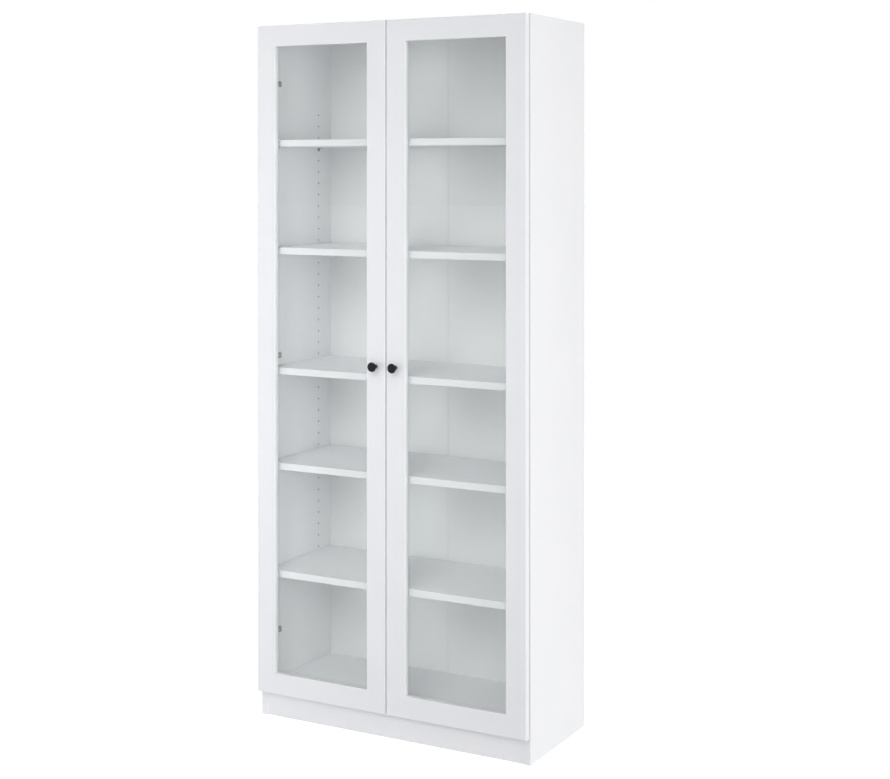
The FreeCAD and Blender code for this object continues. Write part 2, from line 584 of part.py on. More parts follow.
def cup_screw_pair(height):
    pair = []
    for z in (height - CUP_SCREW_SPAN / 2, height + CUP_SCREW_SPAN / 2):
        shank = rod(CUP_SCREW_RADIUS, (wing_x, flange_y[1] - CUP_SCREW_LENGTH, z), (wing_x, flange_y[1], z))
        head = rod(CUP_SCREW_HEAD_RADIUS, (wing_x, flange_y[1], z),
                   (wing_x, flange_y[1] + CUP_SCREW_HEAD_THICK, z))
        pair.append(shank.fuse(head).removeSplitter())
    return pair


arm_top_x = -INNER + ARM_TOP
arm_low_x = -INNER + ARM_RUNNING_GAP
arm_end_y = FRONT + ARM_LENGTH
shoulder_y = FRONT + ARM_SHOULDER
neck_x = -OUTER + NECK_INSET


def hinge_arm(height):
    """The arm: an eye on the pin, a neck round the edge of the side, and a channel on the plate."""
    half_neck = NECK_THICK / 2
    neck_range = (height - NECK_WIDTH / 2, height + NECK_WIDTH / 2)
    bridge_y = (PIVOT.y - half_neck, PIVOT.y + half_neck)
    eye = rod(EYE_RADIUS, (PIVOT.x, PIVOT.y, neck_range[0]), (PIVOT.x, PIVOT.y, neck_range[1]))
    bridge = box((PIVOT.x, neck_x + half_neck), bridge_y, neck_range)
    drop = box((neck_x - half_neck, neck_x + half_neck), (bridge_y[0], FRONT + NECK_THICK), neck_range)
    corners = [Vector(neck_x - half_neck, FRONT, neck_range[0]),
               Vector(neck_x + half_neck, FRONT, neck_range[0]),
               Vector(arm_top_x, shoulder_y, neck_range[0]),
               Vector(arm_top_x - ARM_WALL, shoulder_y, neck_range[0]),
               Vector(neck_x - half_neck, FRONT + NECK_THICK, neck_range[0])]
    slope = Part.Face(Part.makePolygon(corners + corners[:1])).extrude(Vector(0, 0, NECK_WIDTH))
    channel = box((arm_low_x, arm_top_x), (shoulder_y, arm_end_y),
                  (height - ARM_WIDTH / 2, height + ARM_WIDTH / 2))
    channel = soften(channel, ARM_ROUND,
                     lambda middle, way: near(middle.x, arm_top_x) and runs_along(way, BACKWARDS))
    hollow = box((arm_low_x - PAST, arm_top_x - ARM_WALL), grown((shoulder_y, arm_end_y), PAST),
                 (height - ARM_WIDTH / 2 + ARM_WALL, height + ARM_WIDTH / 2 - ARM_WALL))
    arm = channel.cut(hollow).fuse([slope, drop, bridge, eye]).removeSplitter()
    through = grown(neck_range, PAST)
    cuts = [rod(PIN_RADIUS + FIT, (PIVOT.x, PIVOT.y, through[0]), (PIVOT.x, PIVOT.y, through[1]))]
    for distance in ARM_SCREWS_AT:
        y = FRONT + distance
        cuts.append(rod(ARM_SCREW_RADIUS + FIT, (arm_low_x, y, height), (arm_top_x + PAST, y, height)))
    return cut_all(arm, cuts)


def hinge_plate(height):
    """The plate on the side's inner face, with the ridge that the arm is clamped to."""
    boss_half = ARM_WIDTH / 2 - ARM_WALL - BORE_SLACK
    plate_y = (FRONT + FRONT_ROW - PLATE_WIDTH / 2, FRONT + FRONT_ROW + PLATE_WIDTH / 2)
    plate_top = -INNER + PLATE_THICK
    wings = box((-INNER, plate_top), plate_y, (height - PLATE_HALF_LENGTH, height + PLATE_HALF_LENGTH))
    wings = soften(wings, WING_ROUND, lambda middle, way: runs_along(way, ACROSS))
    boss = box((-INNER, arm_top_x - ARM_WALL), (FRONT + BOSS_FRONT, FRONT + BOSS_REAR),
               (height - boss_half, height + boss_half))
    plate = wings.fuse(boss).removeSplitter()
    cuts = []
    for z in (height - PLATE_SCREW_HALF, height + PLATE_SCREW_HALF):
        y = FRONT + FRONT_ROW
        seat = plate_top - PLATE_SCREW_HEAD_THICK
        cuts.append(rod(HOLE_RADIUS + FIT, (-INNER - PAST, y, z), (plate_top + PAST, y, z)))
        cuts.append(rod(PLATE_SCREW_HEAD_RADIUS + FIT, (seat, y, z), (plate_top + PAST, y, z)))
    for distance in ARM_SCREWS_AT:
        y = FRONT + distance
        tip = -INNER + ARM_SCREW_TIP_GAP
        cuts.append(rod(ARM_SCREW_RADIUS + FIT, (tip, y, height), (arm_top_x, y, height)))
    return cut_all(plate, cuts)


def plate_screw_pair(height):
    pair = []
    for z in (height - PLATE_SCREW_HALF, height + PLATE_SCREW_HALF):
        y = FRONT + FRONT_ROW
        top = -INNER + PLATE_THICK
        shank = rod(HOLE_RADIUS - FIT, (-INNER - PLATE_SCREW_LENGTH, y, z), (top, y, z))
        head = rod(PLATE_SCREW_HEAD_RADIUS, (top - PLATE_SCREW_HEAD_THICK, y, z), (top, y, z))
        pair.append(shank.fuse(head).removeSplitter())
    return pair


def arm_screw_pair(height):
    pair = []
    for distance in ARM_SCREWS_AT:
        y = FRONT + distance
        tip = -INNER + ARM_SCREW_TIP_GAP + BORE_SLACK
        shank = rod(ARM_SCREW_RADIUS, (tip, y, height), (arm_top_x, y, height))
        head = rod(ARM_SCREW_HEAD_RADIUS, (arm_top_x, y, height),
                   (arm_top_x + ARM_SCREW_HEAD_THICK, y, height))
        pair.append(shank.fuse(head).removeSplitter())
    return pair


stile_bores = []
hinge_cups = []
hinge_pins = []
hinge_arms = []
hinge_plates = []
cup_screws = []
plate_screws = []
arm_screws = []
for height in HINGE_HEIGHTS:
    stile_bores += cup_bores(height)
    hinge_cups.append(hinge_cup(height))
    hinge_pins.append(hinge_pin(height))
    hinge_arms.append(hinge_arm(height))
    hinge_plates.append(hinge_plate(height))
    cup_screws += cup_screw_pair(height)
    plate_screws += plate_screw_pair(height)
    arm_screws += arm_screw_pair(height)
    if height != MIDDLE_HINGE:
        # the middle hinge is screwed into two holes of the front row
        for z in (height - PLATE_SCREW_HALF, height + PLATE_SCREW_HALF):
            side_cuts.append(side_hole(FRONT + FRONT_ROW, z))
hinge_stile = cut_all(hinge_stile, stile_bores)

# ------------------------------------------------------------------ sides
left_side = box((-OUTER, -INNER), (FRONT, REAR), (GLIDE_HEIGHT, HEIGHT))
left_side = soften(left_side, BOARD_ROUND,
                   lambda middle, way: near(middle.y, FRONT) and runs_along(way, UPWARDS))
left_side = cut_all(left_side, side_cuts)

# ------------------------------------------------------------------ the separate pieces
os.makedirs("parts", exist_ok=True)

save("left_side", left_side)
save("right_side", mirrored(left_side))
save("top_panel", top_panel)
save("bottom_panel", bottom_panel)
save("fixed_shelf", fixed_shelf)
for number, hole_number in enumerate(ADJUSTABLE_HOLES, start=1):
    save("adjustable_shelf_" + str(number), adjustable_shelf(HOLE_HEIGHTS[hole_number]))
save("plinth", plinth)
save("back_panel_left", back_left)
save("back_panel_right", mirrored(back_left))
save("back_joint_strip", strip)
save("back_nails", *nails)
save("shelf_supports", *supports)
save("cam_locks", *cams)
save("cam_bolts", *bolts)
save("wooden_dowels", *dowels)
save("glides", *glides)

carcass_fittings = {"hinge_arms": hinge_arms, "hinge_plates": hinge_plates,
                    "plate_screws": plate_screws, "arm_screws": arm_screws}
door_pieces = {"hinge_stile": [hinge_stile], "meeting_stile": [meeting_stile],
               "top_rail": [top_rail], "bottom_rail": [bottom_rail],
               "glass": [glass], "glazing_beads": beads, "frame_dowels": frame_dowels,
               "knob": [knob], "knob_screw": [knob_screw], "bumpers": bumpers,
               "hinge_cups": hinge_cups, "hinge_pins": hinge_pins, "cup_screws": cup_screws}
for name, solids in {**carcass_fittings, **door_pieces}.items():
    save("left_" + name, *solids)
    save("right_" + name, *[mirrored(solid) for solid in solids])
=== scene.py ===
import json
import math

import bpy
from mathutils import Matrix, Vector


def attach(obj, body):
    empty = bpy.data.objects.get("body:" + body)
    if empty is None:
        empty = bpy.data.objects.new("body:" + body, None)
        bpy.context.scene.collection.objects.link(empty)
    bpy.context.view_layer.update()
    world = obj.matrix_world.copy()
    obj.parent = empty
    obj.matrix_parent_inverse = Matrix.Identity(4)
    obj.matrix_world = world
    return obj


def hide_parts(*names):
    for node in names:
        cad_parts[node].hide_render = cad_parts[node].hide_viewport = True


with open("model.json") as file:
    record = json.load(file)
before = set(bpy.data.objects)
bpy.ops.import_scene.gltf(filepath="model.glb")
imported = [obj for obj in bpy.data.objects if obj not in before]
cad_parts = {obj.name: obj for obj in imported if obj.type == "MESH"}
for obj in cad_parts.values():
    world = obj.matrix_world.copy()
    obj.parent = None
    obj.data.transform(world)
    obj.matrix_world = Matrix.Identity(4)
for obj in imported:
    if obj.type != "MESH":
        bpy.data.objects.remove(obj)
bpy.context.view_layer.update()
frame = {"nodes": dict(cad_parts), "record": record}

# A white bookcase with two framed glass doors. The frame is +X right, doors towards -Y, +Z up, in metres.
# Sizes below are written in millimetres, the way the fittings are sold, and mm() turns them to metres.

X, Y, Z = Vector((1, 0, 0)), Vector((0, 1, 0)), Vector((0, 0, 1))


def mm(value):
    return value / 1000


def at(x, y, z):
    return Vector((mm(x), mm(y), mm(z)))


# ------------------------------------------------------------------ sizes that the pieces share
HEIGHT = 1850.0
OUTER = 400.0               # middle to the outer face of a side
INNER = 382.0
FRONT = -140.5              # front edges of the sides
REAR = 187.5
BOARD = 18.0
FOIL = 0.3                  # deeper than this, a board is bare
BACK_FRONT = 174.5
PRINT = 0.4                 # deeper than this, the back is bare
GLIDE_HEIGHT = 2.0
BOTTOM_UNDERSIDE = 67.0
DOOR_FRONT = -162.5
DOOR_REAR = -143.5
OPENING_X = (-342.5, -57.5)     # left door's opening
OPENING_Z = (125.0, 1793.0)
REBATE = 10.0
HOLE_ROWS = (FRONT + 37, FRONT + 253)   # front row and rear row
HINGE_HEIGHTS = (221.0, 963.0, 1697.0)
MEETING_STILE_MIDDLE = -29.5
KNOB_HEIGHT = 960.0
SHELF_HOLES = (1523.0, 1235.0, 659.0, 371.0)    # the holes that carry the loose shelves
FLAT = 0.999                # a face or edge points along an axis
TOUCH = mm(0.01)
SAME_POINT = 1e-6           # metres


# ------------------------------------------------------------------ modelling, one step each
def only(piece):
    bpy.ops.object.select_all(action="DESELECT")
    piece.select_set(True)
    bpy.context.view_layer.objects.active = piece


def named(name):
    """Names the new primitive and puts its place into its mesh."""
    piece = bpy.context.active_object
    piece.name = name
    piece.data.name = name
    bpy.ops.object.transform_apply(location=True, rotation=True, scale=True)
    return piece


def block(name, low, high):
    bpy.ops.object.select_all(action="DESELECT")
    bpy.ops.mesh.primitive_cube_add(size=1, location=(low + high) / 2, scale=high - low)
    return named(name)


def choose(piece, kind, wanted):
    """Goes to edit mode with the faces or edges selected whose middle and direction are wanted."""
    only(piece)
    mesh = piece.data
    for elements in (mesh.vertices, mesh.edges, mesh.polygons):
        elements.foreach_set("select", [False] * len(elements))
    bpy.context.tool_settings.mesh_select_mode = (False, kind == "EDGE", kind == "FACE")
    if kind == "FACE":
        for face in mesh.polygons:
            face.select = wanted(face.center, face.normal)
    else:
        for edge in mesh.edges:
            start, end = (mesh.vertices[index].co for index in edge.vertices)
            edge.select = wanted((start + end) / 2, (end - start).normalized())
    bpy.ops.object.mode_set(mode="EDIT")


def leave():
    bpy.ops.object.mode_set(mode="OBJECT")


def everywhere(middle, direction):
    return True


def close(value, target):
    return abs(value - mm(target)) < TOUCH


def along(axis):
    return lambda middle, direction: abs(direction.dot(axis)) > FLAT


def facing(axis):
    return lambda middle, normal: normal.dot(axis) > FLAT


def round_edges(piece, wanted, size, segments=3):
    choose(piece, "EDGE", wanted)
    bpy.ops.mesh.bevel(offset=mm(size), segments=segments, affect="EDGES")
    leave()


def extrude(piece, wanted, *steps):
    """Pulls the wanted faces out once for each step."""
    choose(piece, "FACE", wanted)
    for step in steps:
        bpy.ops.mesh.extrude_region_move(TRANSFORM_OT_translate={"value": step})
    leave()


def face_outwards(piece):
    choose(piece, "FACE", everywhere)
    bpy.ops.mesh.remove_doubles(threshold=SAME_POINT)
    bpy.ops.mesh.normals_make_consistent(inside=False)
    leave()


def turned(name, base, axis, profile, sides=48):
    """A round piece: a disc at base, pulled along axis from one (radius, distance) to the next."""
    spin_to = Z.rotation_difference(axis).to_euler()
    radius, distance = profile[0]
    bpy.ops.object.select_all(action="DESELECT")
    bpy.ops.mesh.primitive_circle_add(vertices=sides, radius=mm(radius), fill_type="NGON",
                                      location=base + axis * mm(distance), rotation=spin_to)
    piece = named(name)
    choose(piece, "FACE", everywhere)
    for next_radius, next_distance in profile[1:]:
        step = axis * mm(next_distance - distance)
        bpy.ops.mesh.extrude_region_move(TRANSFORM_OT_translate={"value": step})
        grow = next_radius / radius
        bpy.ops.transform.resize(value=(grow, grow, grow), center_override=base + axis * mm(next_distance))
        radius, distance = next_radius, next_distance
    leave()
    face_outwards(piece)
    return piece


def finish_with(piece, kind, **settings):
    """Adds a modifier and applies it."""
    only(piece)
    modifier = piece.modifiers.new(kind.lower(), kind)
    for name, value in settings.items():
        setattr(modifier, name, value)
    bpy.ops.object.modifier_apply(modifier=modifier.name)


def weld(piece, *others):
    """Makes one solid of several."""
    for other in others:
        finish_with(piece, "BOOLEAN", object=other, operation="UNION", solver="EXACT")
        bpy.data.objects.remove(other)
    return piece


def cut_out(piece, *others):
    for other in others:
        finish_with(piece, "BOOLEAN", object=other, operation="DIFFERENCE", solver="EXACT")
        bpy.data.objects.remove(other)
    return piece


def smooth(piece, angle=35):
    """Shades rounds as curves, while large flat faces stay flat up to their edges."""
    only(piece)
    bpy.ops.object.shade_smooth_by_angle(angle=math.radians(angle), keep_sharp_edges=False)
    finish_with(piece, "WEIGHTED_NORMAL", weight=100, keep_sharp=True)


def ease(piece, size, angle=40, segments=2):
    """Takes the sharpness off every hard edge."""
    finish_with(piece, "BEVEL", width=mm(size), segments=segments, limit_method="ANGLE",
                angle_limit=math.radians(angle), use_clamp_overlap=True)


def copies(name, pattern, places):
    """One piece made of copies of a pattern, each moved by one of the places."""
    made = []
    for place in places:
        only(pattern)
        bpy.ops.object.duplicate(linked=False)
        bpy.ops.transform.translate(value=place)
        bpy.ops.object.transform_apply(location=True, rotation=True, scale=True)
        made.append(bpy.context.active_object)
    bpy.data.objects.remove(pattern)
    return joined(name, made)


def joined(name, pieces):
    bpy.ops.object.select_all(action="DESELECT")
    for piece in pieces:
        piece.select_set(True)
    bpy.context.view_layer.objects.active = pieces[0]
    if len(pieces) > 1:
        bpy.ops.object.join()
    pieces[0].name = name
    pieces[0].data.name = name
    return pieces[0]


def mirror_copy(piece, name):
    """The same piece for the other side of the bookcase."""
    only(piece)
    bpy.ops.object.duplicate(linked=False)
    bpy.ops.transform.resize(value=(-1, 1, 1), center_override=(0, 0, 0))
    other = named(name)
    face_outwards(other)
    smooth(other)
    return other


# ------------------------------------------------------------------ colours and nodes
def linear(hex_colour):
    """sRGB hex to the linear RGBA that shaders take."""
    parts = [int(hex_colour[start:start + 2], 16) / 255 for start in (1, 3, 5)]
    return [part / 12.92 if part <= 0.04045 else ((part + 0.055) / 1.055) ** 2.4 for part in parts] + [1.0]


def repeats(size):
    """A texture scale from the size in millimetres of what it draws."""
    return 1 / mm(size)


def add(owner, kind, inputs=None, **settings):
    """Adds one node to a material or world. An input is a plain value or the socket that feeds it."""
    made = owner.node_tree.nodes.new(kind)
    for name, value in settings.items():
        setattr(made, name, value)
    for name, value in (inputs or {}).items():
        if isinstance(value, bpy.types.NodeSocket):
            owner.node_tree.links.new(value, made.inputs[name])
        else:
            made.inputs[name].default_value = value
    return made


def new_material(name):
    material = bpy.data.materials.new(name)
    material.use_nodes = True
    material.node_tree.nodes.clear()
    return material


# ------------------------------------------------------------------ materials
def foil_faced_chipboard():
    # White paper foil pressed on chipboard: even, dull satin, with a fine pearl pressed into it and a
    # faint unevenness in its gloss. What faces forwards, such as the shelves' banded edges and the plinth, is
    # painted a shade greyer than the foil: painted shade. Raw chipboard, brown and coarse, shows where the
    # sides are drilled and grooved. Its brown is painted darker than bare chipboard, as painted shade in the
    # holes, so the rows of holes read as small dark dots.
    made = new_material("foil_faced_chipboard")
    on_piece = add(made, "ShaderNodeTexCoord")
    place = on_piece.outputs["Object"]
    clouds = add(made, "ShaderNodeTexNoise", {"Vector": place, "Scale": repeats(180), "Detail": 3.0})
    foil = add(made, "ShaderNodeMix",
               {"Factor": clouds.outputs["Fac"], "A": linear("#F3F4F6"), "B": linear("#F8F8FA")},
               data_type="RGBA")
    # painted shade: faces that point forwards are multiplied a shade greyer than the foil
    looks = add(made, "ShaderNodeSeparateXYZ", {"Vector": on_piece.outputs["Normal"]})
    painted_shade_forwards = add(made, "ShaderNodeMath", {0: looks.outputs["Y"], 1: -0.5}, operation="LESS_THAN")
    white = add(made, "ShaderNodeMix",
                {"Factor": painted_shade_forwards.outputs[0], "A": foil.outputs["Result"], "B": linear("#F0F0F1")},
                data_type="RGBA", blend_type="MULTIPLY")
    # the chips are 1 to 5 mm long
    chips = add(made, "ShaderNodeTexVoronoi", {"Vector": place, "Scale": repeats(2.5)})
    # bare chipboard's brown, painted darker than the bare board is: painted shade inside the holes and
    # grooves
    raw_chips_and_painted_shade = add(made, "ShaderNodeMix",
              {"Factor": chips.outputs["Distance"], "A": linear("#5E4F3C"), "B": linear("#94805F")},
              data_type="RGBA")
    axes = add(made, "ShaderNodeSeparateXYZ", {"Vector": place})
    from_middle = add(made, "ShaderNodeMath", {0: axes.outputs["X"]}, operation="ABSOLUTE")
    in_thickness = add(made, "ShaderNodeMath",
                       {0: from_middle.outputs[0], 1: mm(OUTER + INNER) / 2, 2: mm(BOARD / 2 - FOIL)},
                       operation="COMPARE")
    in_depth = add(made, "ShaderNodeMath",
                   {0: axes.outputs["Y"], 1: mm(FRONT + REAR) / 2, 2: mm((REAR - FRONT) / 2 - FOIL)},
                   operation="COMPARE")
    in_height = add(made, "ShaderNodeMath",
                    {0: axes.outputs["Z"], 1: mm(HEIGHT) / 2, 2: mm(HEIGHT / 2 - GLIDE_HEIGHT - FOIL)},
                    operation="COMPARE")
    in_section = add(made, "ShaderNodeMath", {0: in_thickness.outputs[0], 1: in_depth.outputs[0]},
                     operation="MULTIPLY")
    cut_open = add(made, "ShaderNodeMath", {0: in_section.outputs[0], 1: in_height.outputs[0]},
                   operation="MULTIPLY")
    colour = add(made, "ShaderNodeMix",
                 {"Factor": cut_open.outputs[0], "A": white.outputs["Result"], "B": raw_chips_and_painted_shade.outputs["Result"]},
                 data_type="RGBA")
    # the pearl is about 0.4 mm across, drawn at 1.2 mm so that it shows
    pearl = add(made, "ShaderNodeTexNoise", {"Vector": place, "Scale": repeats(1.2), "Detail": 2.0})
    bump = add(made, "ShaderNodeBump",
               {"Height": pearl.outputs["Fac"], "Strength": 0.12, "Distance": mm(0.03)})
    gloss = add(made, "ShaderNodeMapRange",
                {"Value": clouds.outputs["Fac"], "To Min": 0.36, "To Max": 0.46})
    shader = add(made, "ShaderNodeBsdfPrincipled",
                 {"Base Color": colour.outputs["Result"], "Roughness": gloss.outputs["Result"],
                  "IOR": 1.5, "Normal": bump.outputs["Normal"]})
    add(made, "ShaderNodeOutputMaterial", {"Surface": shader.outputs[0]})
    return made


def lacquered_fibreboard():
    # White satin lacquer sprayed on fibreboard: closed and smooth, with the slight orange peel that
    # spraying leaves, so highlights on the rounded edges are soft and a little broken. The front and rear
    # faces are painted a shade greyer than the cut edges, as painted shade, so the edges stay a shade
    # lighter and outline the openings.
    made = new_material("lacquered_fibreboard")
    on_piece = add(made, "ShaderNodeTexCoord")
    place = on_piece.outputs["Object"]
    clouds = add(made, "ShaderNodeTexNoise", {"Vector": place, "Scale": repeats(140), "Detail": 2.0})
    lacquer = add(made, "ShaderNodeMix",
                  {"Factor": clouds.outputs["Fac"], "A": linear("#EFF0F3"), "B": linear("#F4F5F7")},
                  data_type="RGBA")
    # painted shade: faces that point to the front or rear are multiplied a shade greyer than the edges
    looks = add(made, "ShaderNodeSeparateXYZ", {"Vector": on_piece.outputs["Normal"]})
    front_or_rear = add(made, "ShaderNodeMath", {0: looks.outputs["Y"]}, operation="ABSOLUTE")
    painted_shade_on_faces = add(made, "ShaderNodeMath", {0: front_or_rear.outputs[0], 1: 0.8}, operation="GREATER_THAN")
    white = add(made, "ShaderNodeMix",
                {"Factor": painted_shade_on_faces.outputs[0], "A": lacquer.outputs["Result"], "B": linear("#F2F2F3")},
                data_type="RGBA", blend_type="MULTIPLY")
    peel = add(made, "ShaderNodeTexNoise", {"Vector": place, "Scale": repeats(2.4), "Detail": 1.0})
    bump = add(made, "ShaderNodeBump",
               {"Height": peel.outputs["Fac"], "Strength": 0.2, "Distance": mm(0.03)})
    gloss = add(made, "ShaderNodeMapRange",
                {"Value": clouds.outputs["Fac"], "To Min": 0.28, "To Max": 0.36})
    shader = add(made, "ShaderNodeBsdfPrincipled",
                 {"Base Color": white.outputs["Result"], "Roughness": gloss.outputs["Result"],
                  "IOR": 1.5, "Normal": bump.outputs["Normal"]})
    add(made, "ShaderNodeOutputMaterial", {"Surface": shader.outputs[0]})
    return made


def printed_hardboard():
    # Hardboard printed white on its front face: flatter and duller than the boards round it. Its rear
    # face and its edges are bare: brown pressed fibres, rough, with darker and paler strands.
    made = new_material("printed_hardboard")
    place = add(made, "ShaderNodeTexCoord").outputs["Object"]
    clouds = add(made, "ShaderNodeTexNoise", {"Vector": place, "Scale": repeats(220), "Detail": 2.0})
    white = add(made, "ShaderNodeMix",
                {"Factor": clouds.outputs["Fac"], "A": linear("#F3F3F4"), "B": linear("#F7F8F8")},
                data_type="RGBA")
    # fibres are about 0.2 mm thick, drawn at 1.5 mm so that they show
    fibres = add(made, "ShaderNodeTexNoise",
                 {"Vector": place, "Scale": repeats(1.5), "Detail": 6.0, "Roughness": 0.7})
    brown = add(made, "ShaderNodeMix",
                {"Factor": fibres.outputs["Fac"], "A": linear("#65492F"), "B": linear("#C4A280")},
                data_type="RGBA")
    axes = add(made, "ShaderNodeSeparateXYZ", {"Vector": place})
    bare = add(made, "ShaderNodeMath", {0: axes.outputs["Y"], 1: mm(BACK_FRONT + PRINT)},
               operation="GREATER_THAN")
    colour = add(made, "ShaderNodeMix",
                 {"Factor": bare.outputs[0], "A": white.outputs["Result"], "B": brown.outputs["Result"]},
                 data_type="RGBA")
    bump = add(made, "ShaderNodeBump",
               {"Height": fibres.outputs["Fac"], "Strength": 0.15, "Distance": mm(0.05)})
    gloss = add(made, "ShaderNodeMapRange", {"Value": bare.outputs[0], "To Min": 0.5, "To Max": 0.8})
    shader = add(made, "ShaderNodeBsdfPrincipled",
                 {"Base Color": colour.outputs["Result"], "Roughness": gloss.outputs["Result"],
                  "IOR": 1.5, "Normal": bump.outputs["Normal"]})
    add(made, "ShaderNodeOutputMaterial", {"Surface": shader.outputs[0]})
    return made


def clear_float_glass():
    # Float glass, 4 mm: clear with the faintest green cast from its iron, and mirror smooth. Rays from
    # lamps and from dull surfaces pass straight through it, so that what is behind it is lit.
    made = new_material("clear_float_glass")
    # the cast drifts a little over a pane, as in any drawn sheet
    place = add(made, "ShaderNodeTexCoord").outputs["Object"]
    drift = add(made, "ShaderNodeTexNoise", {"Vector": place, "Scale": repeats(400), "Detail": 1.0})
    tint = add(made, "ShaderNodeMix",
               {"Factor": drift.outputs["Fac"], "A": linear("#FAFDFC"), "B": linear("#FEFEFE")},
               data_type="RGBA")
    glass = add(made, "ShaderNodeBsdfPrincipled",
                {"Base Color": tint.outputs["Result"], "Roughness": 0.0, "IOR": 1.5,
                 "Transmission Weight": 1.0})
    through = add(made, "ShaderNodeBsdfTransparent", {"Color": tint.outputs["Result"]})
    path = add(made, "ShaderNodeLightPath")
    lets_light = add(made, "ShaderNodeMath",
                     {0: path.outputs["Is Shadow Ray"], 1: path.outputs["Is Diffuse Ray"]},
                     operation="MAXIMUM")
    both = add(made, "ShaderNodeMixShader",
               {0: lets_light.outputs[0], 1: glass.outputs[0], 2: through.outputs[0]})
    add(made, "ShaderNodeOutputMaterial", {"Surface": both.outputs[0]})
    return made


def black_powder_coat():
    # Powder-coated zinc: near black and matt, with the fine pebbled skin of baked powder that breaks up
    # and dims its highlight.
    made = new_material("black_powder_coat")
    place = add(made, "ShaderNodeTexCoord").outputs["Object"]
    # pebbles are about 0.3 mm, drawn at 0.5 mm
    pebbles = add(made, "ShaderNodeTexNoise", {"Vector": place, "Scale": repeats(0.5), "Detail": 2.0})
    black = add(made, "ShaderNodeMix",
                {"Factor": pebbles.outputs["Fac"], "A": linear("#0D0E10"), "B": linear("#191A1D")},
                data_type="RGBA")
    bump = add(made, "ShaderNodeBump",
               {"Height": pebbles.outputs["Fac"], "Strength": 0.25, "Distance": mm(0.05)})
    gloss = add(made, "ShaderNodeMapRange",
                {"Value": pebbles.outputs["Fac"], "To Min": 0.4, "To Max": 0.52})
    shader = add(made, "ShaderNodeBsdfPrincipled",
                 {"Base Color": black.outputs["Result"], "Roughness": gloss.outputs["Result"],
                  "IOR": 1.5, "Specular IOR Level": 0.22, "Normal": bump.outputs["Normal"]})
    add(made, "ShaderNodeOutputMaterial", {"Surface": shader.outputs[0]})
    return made


def nickel_plated_steel():
    # Pressed steel with nickel plating: warm silver, with fine drawing lines left by the press.
    made = new_material("nickel_plated_steel")
    place = add(made, "ShaderNodeTexCoord").outputs["Object"]
    drawn = add(made, "ShaderNodeMapping", {"Vector": place, "Scale": (1, 0.05, 1)})
    # the lines are about 0.1 mm wide, drawn at 0.6 mm
    lines = add(made, "ShaderNodeTexNoise",
                {"Vector": drawn.outputs["Vector"], "Scale": repeats(0.6), "Detail": 3.0})
    metal = add(made, "ShaderNodeMix",
                {"Factor": lines.outputs["Fac"], "A": linear("#918E89"), "B": linear("#BDBAB4")},
                data_type="RGBA")
    bump = add(made, "ShaderNodeBump",
               {"Height": lines.outputs["Fac"], "Strength": 0.15, "Distance": mm(0.02)})
    gloss = add(made, "ShaderNodeMapRange", {"Value": lines.outputs["Fac"], "To Min": 0.2, "To Max": 0.36})
    shader = add(made, "ShaderNodeBsdfPrincipled",
                 {"Base Color": metal.outputs["Result"], "Roughness": gloss.outputs["Result"],
                  "Metallic": 1.0, "Normal": bump.outputs["Normal"]})
    add(made, "ShaderNodeOutputMaterial", {"Surface": shader.outputs[0]})
    return made


def zinc_plated_steel():
    # Turned steel with blue zinc plating: cool grey, cloudy from one spot to the next.
    made = new_material("zinc_plated_steel")
    place = add(made, "ShaderNodeTexCoord").outputs["Object"]
    bloom = add(made, "ShaderNodeTexNoise", {"Vector": place, "Scale": repeats(2.5), "Detail": 3.0})
    metal = add(made, "ShaderNodeMix",
                {"Factor": bloom.outputs["Fac"], "A": linear("#9EA5B0"), "B": linear("#D2D0C6")},
                data_type="RGBA")
    gloss = add(made, "ShaderNodeMapRange", {"Value": bloom.outputs["Fac"], "To Min": 0.26, "To Max": 0.46})
    shader = add(made, "ShaderNodeBsdfPrincipled",
                 {"Base Color": metal.outputs["Result"], "Roughness": gloss.outputs["Result"],
                  "Metallic": 1.0})
    add(made, "ShaderNodeOutputMaterial", {"Surface": shader.outputs[0]})
    return made


def die_cast_zinc():
    # Zinc as it leaves the die: dull grey with a faintly pitted, sandy skin.
    made = new_material("die_cast_zinc")
    place = add(made, "ShaderNodeTexCoord").outputs["Object"]
    pits = add(made, "ShaderNodeTexNoise", {"Vector": place, "Scale": repeats(0.5), "Detail": 4.0})
    metal = add(made, "ShaderNodeMix",
                {"Factor": pits.outputs["Fac"], "A": linear("#85888B"), "B": linear("#B8BABC")},
                data_type="RGBA")
    bump = add(made, "ShaderNodeBump",
               {"Height": pits.outputs["Fac"], "Strength": 0.3, "Distance": mm(0.06)})
    gloss = add(made, "ShaderNodeMapRange", {"Value": pits.outputs["Fac"], "To Min": 0.42, "To Max": 0.58})
    shader = add(made, "ShaderNodeBsdfPrincipled",
                 {"Base Color": metal.outputs["Result"], "Roughness": gloss.outputs["Result"],
                  "Metallic": 1.0, "Normal": bump.outputs["Normal"]})
    add(made, "ShaderNodeOutputMaterial", {"Surface": shader.outputs[0]})
    return made


